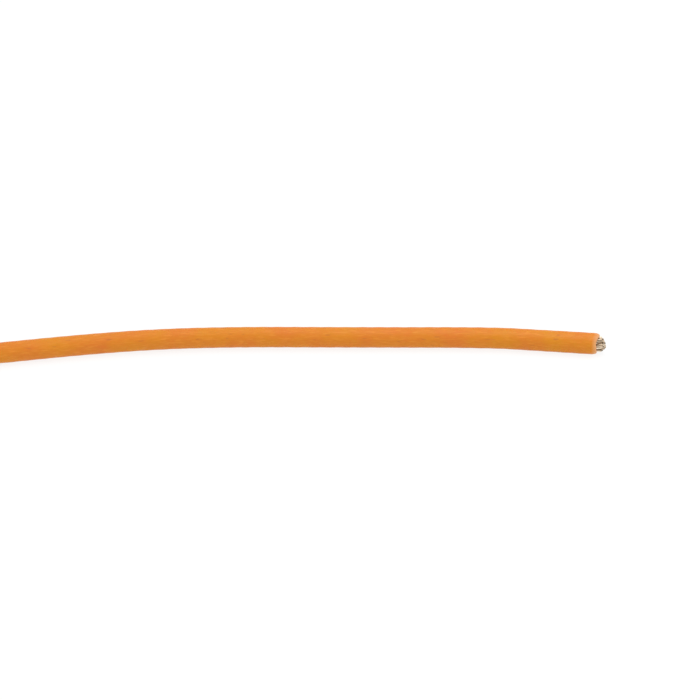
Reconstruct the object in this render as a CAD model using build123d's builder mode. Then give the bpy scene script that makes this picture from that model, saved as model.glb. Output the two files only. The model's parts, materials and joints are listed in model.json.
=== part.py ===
from build123d import *
import math
import os

os.makedirs("parts", exist_ok=True)

# A 2 m length of 7x7 steel wire rope, 3 mm across its wires and 4 mm over its plastic coat.
# The origin is the middle of the coat's rim at one cut end. The rope leaves it along -X,
# lies on a floor at z = -2, and most of it is put away in a tied hank in line with that end.

# Rope section
COAT_DIAMETER = 4.0
CORE_DIAMETER = 3.0
COAT_RADIUS = COAT_DIAMETER / 2
CORE_RADIUS = CORE_DIAMETER / 2
WIRE_DIAMETER = 0.30
WIRE_SPACING = 1 / 3  # nine wires side by side fill the 3 mm core
STRAND_COUNT = 6
WIRES_AROUND_KING = 6
LAY_LENGTH = 19.5
RIM_ROUNDING = 0.35

# Cut end: the wires stand out of the coat in a low dome
WIRE_ZONE = 11.0
WIRE_ZONE_GAP = 0.06  # clears the slanted back ends of the wires
DOME_BASE = 0.6
DOME_RISE = 1.6
DOME_RADIUS = 1.62
TAIL_DOME_ROUNDING = 1.0

# Hank: two columns of four layers, each a rope diameter apart
STRAIGHT_RUN = 78.5
INNER_FOLD = 13.0
OUTER_FOLD = INNER_FOLD + COAT_DIAMETER
LAYERS = 4
TIE_THICKNESS = 1.0
LAYER_1_Z = TIE_THICKNESS  # the ties pass under the turns and lift them off the floor
FOLD_X = -168.0  # where the hank's runs meet its fold on the cut end's side
ENTRY_Y = -19.4
HANK_X = FOLD_X - STRAIGHT_RUN / 2
HANK_Y = ENTRY_Y + OUTER_FOLD
HANK_BOTTOM = LAYER_1_Z - COAT_RADIUS
HANK_HEIGHT = LAYERS * COAT_DIAMETER
HANK_ROUNDING = 0.95 * COAT_RADIUS
STUB_LENGTH = 12.0  # straight rope beside the fold, up to where the two part

# The rope's line from the cut end to the hank, and the far end's line in the hank's gap
RUN_SHARE = 0.45
ROUTE = [
    (0, 0, 0),
    (-20.4, 0, 0),
    (-45.0, -2.6, 0),
    (-75.4, -5.65, 0),
    (-96.0, -9.9, 0),
    (-125.0, -18.6, 0),
    (-141.0, ENTRY_Y, LAYER_1_Z),
    (FOLD_X + STUB_LENGTH, ENTRY_Y, LAYER_1_Z),
]
TAIL_ROUTE = [
    (FOLD_X, HANK_Y - INNER_FOLD, LAYER_1_Z),
    (HANK_X + 26.0, HANK_Y - 12.4, LAYER_1_Z),
    (HANK_X + 8.0, HANK_Y - 7.4, 0.4),
    (HANK_X - 14.0, HANK_Y - 4.0, 0),
    (HANK_X - 35.0, HANK_Y - 3.6, 0),
]

# Cable ties
TIE_WIDTH = 3.6
TIE_HEAD = (5.0, 6.2, 4.0)
TIE_HEAD_ROUNDING = 0.8
TIE_STUB = 2.5


def corner_radii(points):
    """Return the largest arc that each corner's two runs allow."""
    radii = []
    for before, corner, after in zip(points, points[1:], points[2:]):
        run_in = Vector(*corner) - Vector(*before)
        run_out = Vector(*after) - Vector(*corner)
        shorter = min(run_in.length, run_out.length)
        half_turn = math.radians(run_in.get_angle(run_out) / 2)
        radii.append(RUN_SHARE * shorter / math.tan(half_turn))
    return radii


RADII = corner_radii(ROUTE)
TAIL_RADII = corner_radii(TAIL_ROUTE)
CORE_ROUTE = [(-WIRE_ZONE - WIRE_ZONE_GAP, 0, 0)] + ROUTE[1:]


# Hank: its turns as one closed ring, with the start of the entering rope beside its fold
ring_plane = Plane((HANK_X, HANK_Y, HANK_BOTTOM))
outer_width = 2 * (OUTER_FOLD + COAT_RADIUS)
inner_width = 2 * (INNER_FOLD - COAT_RADIUS)
with BuildPart() as hank:
    with BuildSketch(ring_plane):
        SlotCenterToCenter(STRAIGHT_RUN, outer_width)
        SlotCenterToCenter(STRAIGHT_RUN, inner_width, mode=Mode.SUBTRACT)
    extrude(amount=HANK_HEIGHT)
    fillet(hank.faces().filter_by(Axis.Z).edges(), HANK_ROUNDING)
    with BuildSketch(Plane((FOLD_X, ENTRY_Y, LAYER_1_Z), x_dir=(0, 1, 0), z_dir=(1, 0, 0))):
        Circle(COAT_RADIUS)
    extrude(amount=STUB_LENGTH)
hank.part.label = "hank"
export_step(hank.part, "parts/hank.step")


# Rope between the cut end and the hank: coat, and steel core behind the wire zone
with BuildPart() as jacket:
    with BuildLine() as jacket_line:
        FilletPolyline(*ROUTE, radius=RADII)
    with BuildSketch(Plane(ROUTE[0], x_dir=(0, 1, 0), z_dir=(-1, 0, 0))):
        Circle(COAT_RADIUS)
        Circle(CORE_RADIUS, mode=Mode.SUBTRACT)
    sweep()
    rim = jacket.edges().filter_by(GeomType.CIRCLE).sort_by(Axis.X)[-2:]
    fillet(rim.sort_by(SortBy.RADIUS)[-1], RIM_ROUNDING)
jacket.part.label = "jacket"
export_step(jacket.part, "parts/jacket.step")

with BuildPart() as steel_core:
    with BuildLine() as core_line:
        FilletPolyline(*CORE_ROUTE, radius=RADII)
    with BuildSketch(Plane(CORE_ROUTE[0], x_dir=(0, 1, 0), z_dir=(-1, 0, 0))):
        Circle(CORE_RADIUS)
    sweep()
steel_core.part.label = "steel_core"
export_step(steel_core.part, "parts/steel_core.step")


# Cut end: every wire of the core strand and of the six strands round it
def wire_end(name, y, z):
    """Write one wire's last stretch, a helix about the rope's line, cut to the dome."""
    radius = math.hypot(y, z)
    length = WIRE_ZONE + DOME_BASE + DOME_RISE * math.sqrt(1 - (radius / DOME_RADIUS) ** 2)
    back = (-WIRE_ZONE, 0, 0)
    turn = math.degrees(math.atan2(-y, z))  # a helix along +X starts straight above its axis
    with BuildPart() as wire:
        with BuildLine() as wire_line:
            if radius > 0:
                helix = Helix(LAY_LENGTH, length, radius, back, (1, 0, 0), 0, True, Mode.PRIVATE)
                add(helix.rotate(Axis.X, turn))
            else:
                Line(back, (length - WIRE_ZONE, 0, 0))
        with BuildSketch(Plane(wire_line.line @ 0, z_dir=wire_line.line % 0)):
            Circle(WIRE_DIAMETER / 2)
        sweep()
    wire.part.label = name
    export_step(wire.part, f"parts/{name}.step")


def strand_end(name, centre_y, centre_z):
    """Write one strand's king wire and the six wires round it."""
    wire_end(f"{name}_king_wire", centre_y, centre_z)
    for number in range(WIRES_AROUND_KING):
        angle = math.radians(360 / WIRES_AROUND_KING * number)
        wire_end(
            f"{name}_wire_{number + 1}",
            centre_y + WIRE_SPACING * math.cos(angle),
            centre_z + WIRE_SPACING * math.sin(angle),
        )


strand_end("core_strand", 0, 0)
for strand_number in range(STRAND_COUNT):
    strand_angle = math.radians(360 / STRAND_COUNT * strand_number)
    strand_end(
        f"outer_strand_{strand_number + 1}",
        3 * WIRE_SPACING * math.cos(strand_angle),
        3 * WIRE_SPACING * math.sin(strand_angle),
    )


# Far end: it leaves the hank's inner wall and lies in the gap, cut off like the near end
tail_plane = Plane(TAIL_ROUTE[0], z_dir=Vector(*TAIL_ROUTE[1]) - Vector(*TAIL_ROUTE[0]))
with BuildPart() as tail_jacket:
    with BuildLine() as tail_line:
        FilletPolyline(*TAIL_ROUTE, radius=TAIL_RADII)
    with BuildSketch(tail_plane):
        Circle(COAT_RADIUS)
        Circle(CORE_RADIUS, mode=Mode.SUBTRACT)
    sweep()
    add(hank.part, mode=Mode.SUBTRACT)
tail_jacket.part.label = "tail_jacket"
export_step(tail_jacket.part, "parts/tail_jacket.step")

with BuildPart() as tail_core:
    with BuildLine() as tail_core_line:
        FilletPolyline(*TAIL_ROUTE, radius=TAIL_RADII)
    with BuildSketch(tail_plane):
        Circle(CORE_RADIUS)
    sweep()
    with BuildSketch(Plane(tail_core_line.line @ 1, z_dir=tail_core_line.line % 1)):
        Circle(CORE_RADIUS)
    extrude(amount=DOME_BASE + DOME_RISE)
    far_face = tail_core.faces().sort_by(Axis.X)[0]
    fillet(far_face.edges(), TAIL_DOME_ROUNDING)
    add(hank.part, mode=Mode.SUBTRACT)
tail_core.part.label = "tail_core"
export_step(tail_core.part, "parts/tail_core.step")


# Cable ties: a strap round each side of the hank, with its head and trimmed end on top
bundle_width = 2 * COAT_DIAMETER
bundle_offset = (INNER_FOLD + OUTER_FOLD) / 2
tie_layout = {"front_tie": HANK_Y - bundle_offset, "back_tie": HANK_Y + bundle_offset}
for tie_name, tie_y in tie_layout.items():
    section = Plane(
        (HANK_X, tie_y, HANK_BOTTOM + HANK_HEIGHT / 2), x_dir=(0, 1, 0), z_dir=(1, 0, 0)
    )
    head_plane = Plane((HANK_X, tie_y, HANK_BOTTOM + HANK_HEIGHT))
    with BuildPart() as tie:
        with BuildSketch(head_plane):
            Rectangle(TIE_HEAD[0], TIE_HEAD[1])
        extrude(amount=TIE_HEAD[2])
        fillet(tie.edges().filter_by(Axis.Z), TIE_HEAD_ROUNDING)
        fillet(tie.faces().sort_by(Axis.Z)[-1].edges(), TIE_HEAD_ROUNDING / 2)
        with BuildSketch(head_plane):
            Rectangle(TIE_WIDTH, TIE_THICKNESS)
        extrude(amount=TIE_HEAD[2] + TIE_STUB)
        with BuildSketch(section):
            RectangleRounded(
                bundle_width + 2 * TIE_THICKNESS,
                HANK_HEIGHT + 2 * TIE_THICKNESS,
                HANK_ROUNDING + TIE_THICKNESS,
            )
        extrude(amount=TIE_WIDTH / 2, both=True)
        with BuildSketch(section):
            RectangleRounded(bundle_width, HANK_HEIGHT, HANK_ROUNDING)
        extrude(amount=TIE_WIDTH, both=True, mode=Mode.SUBTRACT)
    tie.part.label = tie_name
    export_step(tie.part, f"parts/{tie_name}.step")


def print_line(name, line, radii, solid, area):
    """Print a line's length and arcs, and its solid's volume against section times length."""
    length = sum(edge.length for edge in line.edges())
    arcs = ", ".join(f"{radius:.0f}" for radius in radii)
    print(f"{name}: {length:.1f} mm, arcs of {arcs} mm")
    print(f"  volume {solid.volume:.1f} mm3, section x length {area * length:.1f} mm3")
    return length


coat_area = math.pi * (COAT_RADIUS**2 - CORE_RADIUS**2)
core_area = math.pi * CORE_RADIUS**2
lead_length = print_line("jacket", jacket_line.line, RADII, jacket.part, coat_area)
print_line("steel_core", core_line.line, RADII, steel_core.part, core_area)
tail_length = print_line("tail_jacket", tail_line.line, TAIL_RADII, tail_jacket.part, coat_area)
outer_turns = math.pi * OUTER_FOLD * (2 * LAYERS - 1)
inner_turns = math.pi * INNER_FOLD * (2 * LAYERS - 1)
hank_length = STRAIGHT_RUN * (4 * LAYERS - 2) + outer_turns + inner_turns + STUB_LENGTH
print(f"rope: {lead_length + hank_length + tail_length:.0f} mm")
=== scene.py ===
import json
import math
import random

import bpy
import numpy as np
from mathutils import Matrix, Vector


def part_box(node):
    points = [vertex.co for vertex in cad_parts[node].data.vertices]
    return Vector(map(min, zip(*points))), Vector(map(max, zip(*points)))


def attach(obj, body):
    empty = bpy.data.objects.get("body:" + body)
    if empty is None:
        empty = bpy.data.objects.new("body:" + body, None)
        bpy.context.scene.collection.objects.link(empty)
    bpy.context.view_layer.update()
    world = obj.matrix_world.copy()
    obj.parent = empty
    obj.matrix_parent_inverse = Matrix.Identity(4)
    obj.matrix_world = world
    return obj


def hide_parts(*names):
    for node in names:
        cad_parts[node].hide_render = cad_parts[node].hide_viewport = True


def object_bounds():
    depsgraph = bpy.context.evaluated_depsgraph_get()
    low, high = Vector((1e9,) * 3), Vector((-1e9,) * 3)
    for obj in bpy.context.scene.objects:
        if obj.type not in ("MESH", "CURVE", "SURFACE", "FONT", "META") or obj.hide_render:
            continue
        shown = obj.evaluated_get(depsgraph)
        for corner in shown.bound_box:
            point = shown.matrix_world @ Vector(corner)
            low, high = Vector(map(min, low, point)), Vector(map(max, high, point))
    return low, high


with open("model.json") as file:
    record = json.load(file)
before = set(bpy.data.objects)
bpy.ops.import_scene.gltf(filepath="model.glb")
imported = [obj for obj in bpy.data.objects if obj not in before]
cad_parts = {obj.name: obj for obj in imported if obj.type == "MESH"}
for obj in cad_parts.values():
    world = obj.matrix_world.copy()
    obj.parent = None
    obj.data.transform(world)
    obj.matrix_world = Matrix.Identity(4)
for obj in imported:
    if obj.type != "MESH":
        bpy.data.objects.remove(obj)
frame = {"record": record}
cad_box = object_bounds()

# Sizes in metres, along and across the rope. Angles are in radians.
MM = 0.001
mount = frame["record"]["mounts"][0]
COAT_RADIUS = mount["dims"]["r_mm"] * MM
CORE_RADIUS = 0.75 * COAT_RADIUS
DIAMETER = 2 * COAT_RADIUS
STRANDS = 6
WIRES_ROUND_KING = 6
WIRE_SPACING = CORE_RADIUS / 4.5  # nine wires side by side fill the core
WIRE_RADIUS = 0.49 * WIRE_SPACING
STRAND_RADIUS = 1.5 * WIRE_SPACING
STRAND_OUT = 3 * WIRE_SPACING  # from the rope's line to an outer strand's king wire
LAY_LENGTH = 6.5 * 2 * CORE_RADIUS
STRAND_LAY = -0.5 * LAY_LENGTH  # wires turn in their strand against the strands' own turn
STRAND_START = math.radians(30)  # where the first strand is at the cut end
TAU = 2 * math.pi

hank_low, hank_high = (Vector(corner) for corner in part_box("hank"))
HANK_MIDDLE = (hank_low + hank_high) / 2
OUTER_FOLD = (hank_high.y - hank_low.y) / 2 - COAT_RADIUS
INNER_FOLD = OUTER_FOLD - DIAMETER
HALF_RUN = (hank_high.x - hank_low.x) / 2 - OUTER_FOLD - COAT_RADIUS
LAYERS = round((hank_high.z - hank_low.z) / DIAMETER)
LAYER_1_Z = hank_low.z + COAT_RADIUS
FLOOR_Z = cad_box[0][2]


# The rope's line ------------------------------------------------------------------------

# From the cut end to the hank, and the far end in the hank's gap
LEAD = [
    (0, 0, 0),
    (-0.0112, 0, 0),  # keeps the cut end straight
    (-0.0204, 0, 0),
    (-0.0450, -0.0026, 0),
    (-0.0754, -0.00565, 0),
    (-0.0960, -0.0099, 0),
    (-0.1250, -0.0186, 0),
    (-0.1410, -0.0194, LAYER_1_Z),
    (-0.1560, -0.0194, LAYER_1_Z),
]
TAIL = [
    (HANK_MIDDLE.x + 0.026, HANK_MIDDLE.y - 0.0124, LAYER_1_Z),
    (HANK_MIDDLE.x + 0.008, HANK_MIDDLE.y - 0.0074, 0.0004),
    (HANK_MIDDLE.x - 0.014, HANK_MIDDLE.y - 0.0040, 0),
    (HANK_MIDDLE.x - 0.035, HANK_MIDDLE.y - 0.0036, 0),
]

FOLD_POINTS = 5
RUN_STATIONS = (-0.72, -0.28, 0.28, 0.72)  # shares of the half run, along the way the rope goes
FOLD_SLACK = (0.0, 0.9 * MM, -0.5 * MM, 0.4 * MM)  # how far each layer's folds stand out


def layer_z(layer):
    return LAYER_1_Z + (layer - 1) * DIAMETER


def run_points(side, radius_from, radius_to, layer_from, layer_to, change_after):
    """One straight run of the hank, on the front (-1) or back (1) side, with a smooth change."""
    points = []
    for station in RUN_STATIONS:
        changed = station > change_after
        radius = radius_to if changed else radius_from
        layer = layer_to if changed else layer_from
        x = HANK_MIDDLE.x + side * station * HALF_RUN
        points.append((x, HANK_MIDDLE.y + side * radius, layer_z(layer)))
    return points


def fold_points(end, radius, layer):
    """One half-circle fold, at the far (-1) or near (1) end, its line tangent to the runs."""
    step = math.pi / FOLD_POINTS
    reach = radius / math.cos(step / 2)
    slack = FOLD_SLACK[layer - 1]
    points = []
    for number in range(FOLD_POINTS):
        angle = (number + 0.5) * step
        x = HANK_MIDDLE.x + end * (HALF_RUN + slack + reach * math.sin(angle))
        points.append((x, HANK_MIDDLE.y + end * reach * math.cos(angle), layer_z(layer)))
    return points


def hank_points():
    """The hank's turns: the outer column climbs layer by layer, the inner one comes down."""
    points = []
    for layer in range(1, LAYERS + 1):
        points += run_points(-1, OUTER_FOLD, OUTER_FOLD, layer, layer, 1)
        points += fold_points(-1, OUTER_FOLD, layer)
        if layer < LAYERS:
            points += run_points(1, OUTER_FOLD, OUTER_FOLD, layer, layer + 1, 0)
            points += fold_points(1, OUTER_FOLD, layer + 1)
        else:
            points += run_points(1, OUTER_FOLD, INNER_FOLD, layer, layer, -0.5)
            points += fold_points(1, INNER_FOLD, layer)
    for layer in range(LAYERS, 1, -1):
        points += run_points(-1, INNER_FOLD, INNER_FOLD, layer, layer - 1, 0)
        points += fold_points(-1, INNER_FOLD, layer - 1)
        points += run_points(1, INNER_FOLD, INNER_FOLD, layer - 1, layer - 1, 1)
        points += fold_points(1, INNER_FOLD, layer - 1)
    return points


def nurbs_line(name, points):
    """Return the line of a NURBS spline with these control points, as an array of points."""
    curve = bpy.data.curves.new(name, "CURVE")
    curve.dimensions = "3D"
    curve.resolution_u = 40
    spline = curve.splines.new("NURBS")
    spline.points.add(len(points) - 1)
    for control, point in zip(spline.points, points):
        control.co = (*point, 1)
    spline.order_u = 3
    spline.use_endpoint_u = True
    holder = bpy.data.objects.new(name, curve)
    bpy.context.scene.collection.objects.link(holder)
    bpy.context.view_layer.update()
    mesh = bpy.data.meshes.new_from_object(holder)
    line = np.array([vertex.co for vertex in mesh.vertices])
    bpy.data.objects.remove(holder)
    bpy.data.meshes.remove(mesh)
    bpy.data.curves.remove(curve)
    return line


class Line:
    """A line with its length, and a place and an upright frame at any distance along it."""

    def __init__(self, points):
        self.points = points
        steps = np.linalg.norm(np.diff(points, axis=0), axis=1)
        self.distances = np.concatenate([[0], np.cumsum(steps)])
        self.length = self.distances[-1]
        tangents = np.gradient(points, self.distances, axis=0)
        self.tangents = tangents / np.linalg.norm(tangents, axis=1)[:, None]

    def at(self, distances):
        """Return places, tangents, sideways and upward directions at these distances."""
        def read(values):
            return np.stack([np.interp(distances, self.distances, values[:, k]) for k in range(3)], 1)

        place = read(self.points)
        along = read(self.tangents)
        beyond = np.minimum(distances, 0) + np.maximum(distances - self.length, 0)
        place = place + beyond[:, None] * along
        along /= np.linalg.norm(along, axis=1)[:, None]
        side = np.cross(along, (0, 0, 1))
        side /= np.linalg.norm(side, axis=1)[:, None]
        return place, along, side, np.cross(side, along)


rope = Line(nurbs_line("rope_line", LEAD + hank_points() + TAIL))


# Mesh tools ---------------------------------------------------------------------------

def new_piece(name, vertices, faces, material):
    """Make a smooth mesh object of one material, and put it in the scene."""
    mesh = bpy.data.meshes.new(name)
    mesh.from_pydata([tuple(v) for v in vertices], [], faces)
    mesh.validate()
    mesh.polygons.foreach_set("use_smooth", [True] * len(mesh.polygons))
    mesh.materials.append(material)
    piece = bpy.data.objects.new(name, mesh)
    bpy.context.scene.collection.objects.link(piece)
    return piece


def ring_faces(rings, sides, first=0):
    """Quads that join rings of the same number of points, in order."""
    faces = []
    for ring in range(rings - 1):
        base = first + ring * sides
        for side in range(sides):
            after = (side + 1) % sides
            faces.append((base + side, base + after, base + sides + after, base + sides + side))
    return faces


def store(piece, name, values):
    """Store one number for each point of a piece, for its material."""
    layer = piece.data.attributes.new(name, "FLOAT", "POINT")
    layer.data.foreach_set("value", np.array(values, dtype=np.float32))


def add_place(piece, distances, angles):
    """Store each point's distance along the rope and its turn round it, for the materials."""
    place = np.stack([distances / COAT_RADIUS, np.sin(angles), np.cos(angles)], 1)
    layer = piece.data.attributes.new("rope_place", "FLOAT_VECTOR", "POINT")
    layer.data.foreach_set("vector", place.astype(np.float32).ravel())


# Coat ------------------------------------------------------------------------------------

COAT_SIDES = 42
FINE_STEP = 0.35 * MM
HANK_STEP = 1.05 * MM
FINE_LENGTH = 130 * MM  # the stretch in front of the hank
FAR_FINE_LENGTH = 30 * MM
COAT_WALL = COAT_RADIUS - CORE_RADIUS
RELIEF = 0.014 * MM  # how far the coat stands out over each strand
FLARE = 0.045  # how much thicker the rope is at its cut ends
FLARE_LENGTH = 24 * MM
FLOOR_GAP = 0.01 * MM
RIM_BACK = 1.1 * MM  # the cutter drew the rim in over this length
RIM_DROP = 0.40 * MM  # and by this much
RIM_RINGS = 12
EDGE_BACK = 0.02 * MM  # where the rim turns into the cut face
EDGE_DROP = 0.04 * MM
BORE_BACK = 0.06 * MM  # where the bore starts
BORE_RINGS = 8
VALLEY = 3.55 * WIRE_SPACING  # how far in the coat reaches between two strands
CUT_TURN = math.radians(35)  # the direction in which the cutter's jaws closed
LIP_START = -0.12 * MM
LIP_PINCH = 0.52 * MM  # how far the coat stands out where the jaws met it
LIP_SLANT = 0.20 * MM
LIP_WOBBLE = 0.03 * MM
LIP_FADE = 1.6 * MM  # how far back from the rim the lip's shape reaches


def coat_profile():
    """Distance from the rim plane, and inward drop, of the rings that round a cut end."""
    outer = []
    for number in range(1, RIM_RINGS + 1):
        angle = number / RIM_RINGS * math.pi / 2
        outer.append((RIM_BACK * (1 - math.sin(angle)), RIM_DROP * (1 - math.cos(angle))))
    edge = [(EDGE_BACK, RIM_DROP + EDGE_DROP)]
    return outer + edge + [(BORE_BACK + step * FINE_STEP, COAT_WALL) for step in range(BORE_RINGS)]


def strand_edge(turn):
    """How far the outer strands reach from the rope's line, in a direction from a strand."""
    valley = math.pi / STRANDS
    aside = (turn + valley) % (2 * valley) - valley
    half_chord = np.sqrt(np.maximum(STRAND_RADIUS**2 - (STRAND_OUT * np.sin(aside)) ** 2, 0))
    return STRAND_OUT * np.cos(aside) + half_chord


def build_coat(line, material):
    """The coat along the whole line, cut at both ends, and its places along the line."""
    profile = coat_profile()
    stations = profile[::-1]
    fine = np.arange(RIM_BACK, FINE_LENGTH, FINE_STEP)
    coarse = np.arange(FINE_LENGTH, line.length - FAR_FINE_LENGTH, HANK_STEP)
    last = np.arange(line.length - FAR_FINE_LENGTH, line.length - RIM_BACK, FINE_STEP)
    stations += [(distance, 0.0) for distance in np.concatenate([fine, coarse, last])]
    stations += [(line.length - back, drop) for back, drop in profile]
    distances, drops = np.array(stations).T
    from_cut = np.minimum(distances, line.length - distances)
    near_rim = np.exp(-((from_cut / LIP_FADE) ** 2))
    swelling = 1 + FLARE * np.exp(-((from_cut / FLARE_LENGTH) ** 2))
    inner = drops >= COAT_WALL
    angles = np.linspace(0, TAU, COAT_SIDES, endpoint=False)
    wobble = LIP_WOBBLE * (np.sin(3 * angles + 0.6) + 0.6 * np.sin(5 * angles + 2.1))
    jaws = np.cos(angles - CUT_TURN)
    lip = LIP_START + LIP_PINCH * jaws**2 + LIP_SLANT * jaws + wobble
    outward = np.where(distances < line.length / 2, -1, 1)
    grid = np.zeros((len(stations), COAT_SIDES, 3))
    for column, angle in enumerate(angles):
        stretch = distances + outward * near_rim * lip[column]
        place, _, side, up = line.at(stretch)
        turn = angle - STRAND_START + TAU * stretch / LAY_LENGTH
        outside = (COAT_RADIUS - drops) * swelling + RELIEF * np.cos(STRANDS * turn)
        radius = np.where(inner, np.maximum(strand_edge(turn), VALLEY), outside)
        grid[:, column] = place + radius[:, None] * (math.sin(angle) * side + math.cos(angle) * up)
    grid[:, :, 2] = np.maximum(grid[:, :, 2], FLOOR_Z + FLOOR_GAP)
    piece = new_piece(
        "coat", grid.reshape(-1, 3), ring_faces(len(stations), COAT_SIDES), material
    )
    add_place(piece, np.repeat(distances, COAT_SIDES), np.tile(angles, len(stations)))
    store(piece, "from_cut", np.repeat(from_cut / MM, COAT_SIDES))
    return piece, line.at(distances)[0]


# Wires at the cut ends ------------------------------------------------------------------

WIRE_SIDES = 12
WIRE_DEPTH = 5.0 * MM
WIRE_BEND_DEPTH = 0.4 * MM
WIRE_RINGS = 12  # inside the coat, and again outside it
TIP_STEPS = 4
DOME_RISE = 1.9 * MM
DOME_ALONG_JAWS = 270  # how fast the dome falls away from its nose, in 1/m
DOME_ACROSS_JAWS = 450
NOSE = -0.45 * MM  # where the dome's nose is, along the jaws' direction
UNDERCUT_FROM = -0.6 * MM
UNDERCUT = 0.75  # how steeply the dome is cut away beyond its nose
SPREAD_FROM = 0.4 * MM  # how deep in the coat the wires start to spread
SPREAD = 0.02  # the outermost wires' slope away from the rope's line
SPREAD_CHANGE = (0.7, 1.2)  # how the spread differs from wire to wire
JITTER = 0.02
REACH_LESS = -0.10 * MM  # a wire may end this far short of the dome
REACH_MORE = 0.04 * MM  # or this far past it
SHEARED_RINGS = 4  # the last rings, which the cut has pinched and slanted
PINCH = (0.7, 0.95)  # a pinched wire's thickness, as a share of its width
BEVEL_START = 0.012 * MM  # the cut face's edge is slightly rounded
BEVEL_END = 0.035 * MM
BEVEL_SIZE = 0.86
SKIN_PAINTED_LIGHT = (0.25, 0.5, 0.7, 0.85)  # the wires' sides, from dark to bright: painted shade up to a painted sheen
# The cut faces, from dark to bright: painted shade up to a near-white painted glint.
FACE_PAINTED_LIGHT = (0.06, 0.15, 0.3, 0.6, 1.0)


def wire_spot(strand, wire, distances):
    """Where a wire runs round the rope's line, across and above it, at distances along it."""
    across, above = 0 * distances, 0 * distances
    if strand > 0:
        turn = STRAND_START + TAU * (strand - 1) / STRANDS - TAU * distances / LAY_LENGTH
        across, above = across + STRAND_OUT * np.sin(turn), above + STRAND_OUT * np.cos(turn)
    if wire > 0:
        turn = TAU * (wire - 1) / WIRES_ROUND_KING - TAU * distances / STRAND_LAY
        across, above = across + WIRE_SPACING * np.sin(turn), above + WIRE_SPACING * np.cos(turn)
    return across, above


def wire_places(line, at_start, strand, wire, reach, splay):
    """Places along one wire, from inside the coat to its tip, round the rope's line."""
    inside = np.linspace(WIRE_DEPTH, WIRE_BEND_DEPTH, WIRE_RINGS)
    depths = np.concatenate([inside, np.linspace(0, -reach, WIRE_RINGS)])
    distances = depths if at_start else line.length - depths
    place, _, side, up = line.at(distances)
    across, above = wire_spot(strand, wire, distances)
    out = np.maximum(SPREAD_FROM - depths, 0)
    across += splay[0] * out
    above += splay[1] * out
    return place + across[:, None] * side + above[:, None] * up


def dome_reach(across, above):
    """How far a wire end stands out of the rim plane, by its place in the cut."""
    jaws_side, jaws_up = math.sin(CUT_TURN), math.cos(CUT_TURN)
    along_jaws = across * jaws_side + above * jaws_up
    across_jaws = across * jaws_up - above * jaws_side
    drop = DOME_ALONG_JAWS * (along_jaws - NOSE) ** 2 + DOME_ACROSS_JAWS * across_jaws**2
    return DOME_RISE - drop - UNDERCUT * max(0.0, UNDERCUT_FROM - along_jaws)


def wire_mesh(places, spot, chance, vertices, faces, painted_light_levels):
    """Add one wire: a tube along its places, its tip sheared along the dome and pinched."""
    first = len(vertices)
    along = np.gradient(places, axis=0)
    along /= np.linalg.norm(along, axis=1)[:, None]
    side = np.cross(along, (0.05, 0.02, 1))
    side /= np.linalg.norm(side, axis=1)[:, None]
    up = np.cross(side, along)
    pinch_turn = chance.uniform(0, math.pi)
    pinch = chance.uniform(*PINCH)
    # Each wire draws one level of painted light for its side and one for its cut face, from painted shade
    # to painted glint.
    skin_painted_light = chance.choice(SKIN_PAINTED_LIGHT)
    face_painted_light = chance.choice(FACE_PAINTED_LIGHT)
    tip_turn = math.copysign(1, along[-1][0])  # the side vector turns over with the rope's end
    last = len(places) - 1
    rings = [(number, 1.0, 0.0, skin_painted_light) for number in range(len(places))]
    rings += [(last, 1.0, BEVEL_START, face_painted_light), (last, BEVEL_SIZE, BEVEL_END, face_painted_light)]
    for number, size, ahead, painted_light_level in rings:
        near_tip = max(0.0, 1 - (last - number) / SHEARED_RINGS)
        for step in range(WIRE_SIDES):
            angle = TAU * step / WIRE_SIDES
            flat = 1 - (1 - pinch) * near_tip * abs(math.sin(angle - pinch_turn))
            x = WIRE_RADIUS * size * flat * math.sin(angle)
            y = WIRE_RADIUS * size * flat * math.cos(angle)
            slope = dome_reach(spot[0] - tip_turn * x, spot[1] + y) - dome_reach(*spot)
            push = ahead + near_tip**3 * slope
            vertices.append(places[number] + x * side[number] + y * up[number] + push * along[number])
            painted_light_levels.append(painted_light_level)
    faces += ring_faces(len(rings), WIRE_SIDES, first)
    faces.append(tuple(first + (len(rings) - 1) * WIRE_SIDES + k for k in range(WIRE_SIDES)))
    faces.append(tuple(first + WIRE_SIDES - 1 - k for k in range(WIRE_SIDES)))


def build_strand(name, line, at_start, strand, material, chance):
    """One strand's seven wires at one end of the rope, as one piece."""
    vertices, faces, painted_light_levels = [], [], []
    for wire in range(WIRES_ROUND_KING + 1):
        reach = 0
        for _ in range(TIP_STEPS):  # the wires turn as they stand out, so their tips move
            across, above = wire_spot(strand, wire, -reach if at_start else line.length + reach)
            reach = dome_reach(across, above)
        reach += chance.uniform(REACH_LESS, REACH_MORE)
        spread = SPREAD * chance.uniform(*SPREAD_CHANGE) / CORE_RADIUS
        splay = (
            spread * across + chance.uniform(-JITTER, JITTER),
            spread * above + chance.uniform(-JITTER, JITTER),
        )
        places = wire_places(line, at_start, strand, wire, reach, splay)
        wire_mesh(places, (across, above), chance, vertices, faces, painted_light_levels)
    piece = new_piece(name, vertices, faces, material)
    # The levels of painted shade, sheen and glint go to the steel material.
    store(piece, "wire_painted_light", painted_light_levels)
    return piece


# Cable ties -----------------------------------------------------------------------------

STRAP_WIDTH = 3.6 * MM
STRAP_FILL = 0.94  # the strap's share of the room between the rope and the tie's outside
STRAP_CORNER = 0.95 * COAT_RADIUS
STRAP_ROUNDING = 0.22 * MM
STRAP_STEPS = 2
LOOP_STEPS = 10
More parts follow.
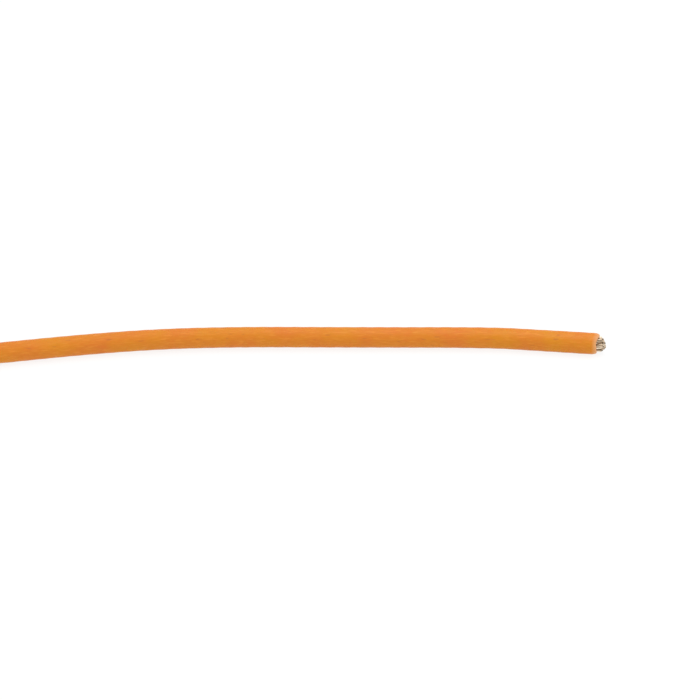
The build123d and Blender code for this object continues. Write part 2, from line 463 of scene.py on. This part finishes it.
# The head from its foot up, over its rim and down its slot: width, depth, rounding and level in mm
HEAD_LEVELS = (
    (5.0, 6.2, 0.5, -0.35), (5.0, 6.2, 0.9, 0.0), (5.0, 6.2, 0.9, 3.3), (4.7, 5.9, 0.8, 3.8),
    (4.2, 5.4, 0.7, 4.0), (3.9, 2.2, 0.3, 4.0), (3.8, 2.0, 0.25, 3.8), (3.8, 1.8, 0.25, 1.4),
)
HEAD_STEPS = 4
TAIL_FILL = 0.9
TAIL_SLANT = 0.10  # how far its end was cut off out of square
TEETH = 7
TOOTH_PITCH = 0.9 * MM
TOOTH_HEIGHT = 0.22 * MM
TOOTH_SLOPE = 0.72  # the gentle side's share of a tooth
TOOTH_HALF_WIDTH = 0.36 * STRAP_WIDTH


def rounded_outline(width, height, rounding, steps):
    """Points of a rounded rectangle round the origin, in order."""
    points = []
    corners = ((1, 1, 0), (-1, 1, 1), (-1, -1, 2), (1, -1, 3))
    for sign_x, sign_y, quarter in corners:
        centre_x = sign_x * (width / 2 - rounding)
        centre_y = sign_y * (height / 2 - rounding)
        for step in range(steps + 1):
            angle = (quarter + step / steps) * math.pi / 2
            points.append((centre_x + rounding * math.cos(angle), centre_y + rounding * math.sin(angle)))
    return points


def add_stack(vertices, faces, rings):
    """Add a tube through rings of points, in order, with a cap at each end."""
    first, sides = len(vertices), len(rings[0])
    for ring in rings:
        vertices += ring
    faces += ring_faces(len(rings), sides, first)
    faces.append(tuple(first + sides - 1 - k for k in range(sides)))
    faces.append(tuple(first + (len(rings) - 1) * sides + k for k in range(sides)))


def build_tie(node, name, material):
    """A cable tie where its CAD node is: strap, ratchet head with its slot, and cut tail."""
    low, high = (Vector(corner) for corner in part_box(node))
    middle = (low + high) / 2
    thickness = hank_low.z - low.z
    vertices, faces = [], []

    height = hank_high.z - hank_low.z + thickness
    corner = STRAP_CORNER + thickness / 2
    loop = rounded_outline(high.y - low.y - thickness, height, corner, LOOP_STEPS)
    section = rounded_outline(STRAP_WIDTH, STRAP_FILL * thickness, STRAP_ROUNDING, STRAP_STEPS)
    for index, (y, z) in enumerate(loop):
        before, after = loop[index - 1], loop[(index + 1) % len(loop)]
        run = Vector((0, after[0] - before[0], after[1] - before[1])).normalized()
        outward = Vector((0, run.z, -run.y))
        for x, out in section:
            vertices.append(Vector((middle.x + x, middle.y + y, HANK_MIDDLE.z + z)) + outward * out)
    sides = len(section)
    faces += ring_faces(len(loop), sides)
    last = (len(loop) - 1) * sides
    for side in range(sides):
        after = (side + 1) % sides
        faces.append((last + side, last + after, after, side))

    foot = Vector((middle.x, middle.y, hank_high.z))
    head = []
    for width, depth, rounding, level in HEAD_LEVELS:
        outline = rounded_outline(width * MM, depth * MM, rounding * MM, HEAD_STEPS)
        head.append([foot + Vector((x, y, level * MM)) for x, y in outline])
    add_stack(vertices, faces, head)

    levels = []
    for tooth in range(TEETH):
        levels += [(tooth, 0, 0), (tooth + TOOTH_SLOPE, TOOTH_HEIGHT, 0)]
    levels.append((TEETH, 0, TAIL_SLANT))
    section = rounded_outline(STRAP_WIDTH, TAIL_FILL * thickness, STRAP_ROUNDING, STRAP_STEPS)
    tail = []
    for level, ridge, slant in levels:
        ring = []
        for x, y in section:
            on_teeth = y > 0 and abs(x) < TOOTH_HALF_WIDTH
            ring.append(foot + Vector((x, y + on_teeth * ridge, level * TOOTH_PITCH + slant * x)))
        tail.append(ring)
    add_stack(vertices, faces, tail)
    return new_piece(name, vertices, faces, material)


# Materials ------------------------------------------------------------------------------

class Nodes:
    """A material's node tree, with short calls for the nodes that it needs."""

    def __init__(self, name):
        self.material = bpy.data.materials.new(name)
        self.material.use_nodes = True
        self.tree = self.material.node_tree
        self.shader = self.tree.nodes["Principled BSDF"]

    def add(self, kind, inputs=None, **settings):
        node = self.tree.nodes.new(kind)
        for setting, value in settings.items():
            setattr(node, setting, value)
        for socket, value in (inputs or {}).items():
            if isinstance(value, bpy.types.NodeSocket):
                self.tree.links.new(value, node.inputs[socket])
            else:
                node.inputs[socket].default_value = value
        return node

    def set(self, **values):
        for socket, value in values.items():
            target = self.shader.inputs[socket.replace("_", " ")]
            if isinstance(value, bpy.types.NodeSocket):
                self.tree.links.new(value, target)
            else:
                target.default_value = value

    def noise(self, vector, scale, detail=2.0, roughness=0.5):
        inputs = {"Vector": vector, "Scale": scale, "Detail": detail, "Roughness": roughness}
        return self.add("ShaderNodeTexNoise", inputs).outputs["Fac"]

    def ramp(self, value, stops):
        node = self.add("ShaderNodeValToRGB", {"Fac": value})
        elements = node.color_ramp.elements
        while len(elements) < len(stops):
            elements.new(1.0)
        for element, (position, color) in zip(elements, stops):
            element.position = position
            element.color = color
        return node.outputs["Color"]

    def map(self, value, low, high, to_low, to_high):
        inputs = {"Value": value, 1: low, 2: high, 3: to_low, 4: to_high}
        return self.add("ShaderNodeMapRange", inputs).outputs["Result"]

    def mix(self, factor, first, second):
        node = self.add("ShaderNodeMix", data_type="RGBA")
        for socket, value in ((0, factor), (6, first), (7, second)):
            if isinstance(value, bpy.types.NodeSocket):
                self.tree.links.new(value, node.inputs[socket])
            else:
                node.inputs[socket].default_value = value
        return node.outputs[2]

    def bump(self, height, distance, strength=1.0, normal=None):
        inputs = {"Height": height, "Distance": distance, "Strength": strength}
        if normal is not None:
            inputs["Normal"] = normal
        return self.add("ShaderNodeBump", inputs).outputs["Normal"]


def coat_material():
    nodes = Nodes("orange_pvc")
    place = nodes.add("ShaderNodeAttribute", attribute_name="rope_place").outputs["Vector"]
    streaks = nodes.add("ShaderNodeMapping", {"Vector": place, "Scale": (1.0, 8.0, 8.0)})
    streak = nodes.noise(streaks.outputs["Vector"], 1.0, 3.0, 0.6)
    cloud = nodes.noise(place, 0.35, 3.0)
    dashes = nodes.add("ShaderNodeMapping", {"Vector": place, "Scale": (0.9, 4.0, 4.0)})
    speck = nodes.noise(dashes.outputs["Vector"], 1.0, 2.0, 0.4)
    grain = nodes.noise(place, 22.0, 3.0, 0.6)
    base = nodes.mix(nodes.map(cloud, 0.3, 0.7, 0, 1), (0.65, 0.174, 0.014, 1), (0.64, 0.220, 0.005, 1))
    base = nodes.mix(nodes.map(streak, 0.50, 0.72, 0, 0.65), base, (0.76, 0.275, 0.030, 1))
    base = nodes.mix(nodes.map(speck, 0.66, 0.74, 0, 0.45), base, (0.42, 0.11, 0.02, 1))
    from_cut = nodes.add("ShaderNodeAttribute", attribute_name="from_cut").outputs["Fac"]
    base = nodes.mix(nodes.map(from_cut, 0.1, 1.0, 0.6, 0), base, (0.74, 0.42, 0.22, 1))
    rough = nodes.map(nodes.noise(place, 1.6, 3.0), 0.3, 0.7, 0.42, 0.55)
    normal = nodes.bump(streak, 0.012 * MM, 0.5)
    normal = nodes.bump(grain, 0.006 * MM, 0.6, normal)
    nodes.set(Base_Color=base, Roughness=rough, Normal=normal)
    nodes.set(Specular_IOR_Level=0.25, IOR=1.5, Subsurface_Weight=0.06, Subsurface_Scale=0.4 * MM)
    return nodes.material


# Steel colour by painted light level: a warm grey-tan steel whose warmth is partly a painted reflection
# of the orange coat, with painted shade between the wires at the dark end and a painted glint at the
# bright end.
STEEL_PAINTED_LIGHT_RAMP = (
    (0.0, (0.12, 0.09, 0.06, 1)), (0.25, (0.38, 0.30, 0.21, 1)),
    (0.7, (0.74, 0.58, 0.42, 1)), (0.95, (1.0, 0.86, 0.68, 1)),
)


def steel_material():
    nodes = Nodes("cut_steel")
    # The wires' colour comes from their painted light level: painted shade, sheen and glints.
    painted_light_level = nodes.add("ShaderNodeAttribute", attribute_name="wire_painted_light").outputs["Fac"]
    place = nodes.add("ShaderNodeTexCoord").outputs["Object"]
    stain = nodes.noise(place, 1800.0, 2.0, 0.5)
    base = nodes.ramp(painted_light_level, STEEL_PAINTED_LIGHT_RAMP)
    base = nodes.mix(nodes.map(stain, 0.60, 0.72, 0, 0.5), base, (0.10, 0.075, 0.05, 1))
    scratch = nodes.noise(place, 9000.0, 2.0)
    rough = nodes.map(scratch, 0.3, 0.7, 0.30, 0.50)
    normal = nodes.bump(scratch, 0.008 * MM, 0.5)
    nodes.set(Base_Color=base, Metallic=1.0, Roughness=rough, Normal=normal)
    return nodes.material


def nylon_material():
    nodes = Nodes("natural_nylon")
    place = nodes.add("ShaderNodeTexCoord").outputs["Object"]
    cloud = nodes.noise(place, 260.0, 3.0)
    grain = nodes.noise(place, 5200.0, 2.0)
    base = nodes.mix(nodes.map(cloud, 0.3, 0.7, 0, 1), (0.70, 0.675, 0.60, 1), (0.80, 0.78, 0.72, 1))
    rough = nodes.map(cloud, 0.3, 0.7, 0.38, 0.52)
    nodes.set(Base_Color=base, Roughness=rough, Normal=nodes.bump(grain, 0.01 * MM, 0.5))
    nodes.set(Subsurface_Weight=0.2, Subsurface_Scale=1.0 * MM)
    return nodes.material


FLOOR_GLOW = 0.85  # a lit table, so that the rope throws hardly any shadow


def floor_material():
    nodes = Nodes("pale_floor")
    place = nodes.add("ShaderNodeTexCoord").outputs["Object"]
    cloud = nodes.noise(place, 18.0, 2.0)
    base = nodes.mix(nodes.map(cloud, 0.3, 0.7, 0, 1), (0.145, 0.145, 0.145, 1), (0.155, 0.155, 0.155, 1))
    nodes.set(Base_Color=base, Roughness=0.9)
    nodes.set(Specular_IOR_Level=0.1, Emission_Color=(1, 1, 1, 1), Emission_Strength=FLOOR_GLOW)
    return nodes.material


# The rope and its ties ------------------------------------------------------------------

orange_pvc = coat_material()
cut_steel = steel_material()
natural_nylon = nylon_material()

coat, coat_line = build_coat(rope, orange_pvc)
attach(coat, "root")
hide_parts("jacket", "hank", "tail_jacket")

chance = random.Random(7)
for at_start, end_name in ((True, "near_end"), (False, "far_end")):
    for strand in range(STRANDS + 1):
        strand_name = "core_strand" if strand == 0 else f"outer_strand_{strand}"
        piece = build_strand(f"{strand_name}_{end_name}", rope, at_start, strand, cut_steel, chance)
        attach(piece, "root")
        if at_start:
            wires = [f"{strand_name}_king_wire"]
            wires += [f"{strand_name}_wire_{number}" for number in range(1, WIRES_ROUND_KING + 1)]
            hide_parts(*wires)
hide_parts("steel_core")
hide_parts("tail_core")

for node in ("front_tie", "back_tie"):
    tie = build_tie(node, f"{node}_detailed", natural_nylon)
    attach(tie, "root")
    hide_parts(node)


# Floor, light and camera ----------------------------------------------------------------

FLOOR_HALF = 30.0  # so large that low views don't see its edge
WORLD_STRENGTH = 0.93
VIEW_TARGET = Vector((-0.04716, -0.00714, 0))
VIEW_DISTANCE = 0.2618
VIEW_ELEVATION = math.radians(35)
VIEW_TURN = math.radians(6.08)

bpy.ops.mesh.primitive_plane_add(size=2 * FLOOR_HALF, location=(0, 0, FLOOR_Z))
floor = bpy.context.active_object
floor.name = "floor"
floor.data.materials.append(floor_material())

world = bpy.data.worlds.new("studio")
bpy.context.scene.world = world
world.use_nodes = True
world.node_tree.nodes["Background"].inputs["Color"].default_value = (1.0, 1.0, 1.0, 1)
world.node_tree.nodes["Background"].inputs["Strength"].default_value = WORLD_STRENGTH


def area_light(name, place, target, size, power):
    light = bpy.data.lights.new(name, "AREA")
    light.shape = "DISK"
    light.size = size
    light.energy = power
    holder = bpy.data.objects.new(name, light)
    bpy.context.scene.collection.objects.link(holder)
    holder.location = place
    holder.rotation_euler = (Vector(target) - Vector(place)).to_track_quat("-Z", "Y").to_euler()


area_light("overhead", place=(0.03, 0.05, 0.36), target=(0, 0, 0), size=0.35, power=0.60)

camera_data = bpy.data.cameras.new("camera")
camera_data.lens = 70
camera_data.sensor_width = 36
camera_data.clip_start = 0.01
camera = bpy.data.objects.new("camera", camera_data)
bpy.context.scene.collection.objects.link(camera)
back = Vector((math.sin(VIEW_TURN), -math.cos(VIEW_TURN), 0)) * math.cos(VIEW_ELEVATION)
camera.location = VIEW_TARGET + VIEW_DISTANCE * (back + Vector((0, 0, math.sin(VIEW_ELEVATION))))
camera.rotation_euler = (VIEW_TARGET - camera.location).to_track_quat("-Z", "Y").to_euler()
bpy.context.scene.camera = camera
bpy.context.scene.view_settings.view_transform = "Standard"
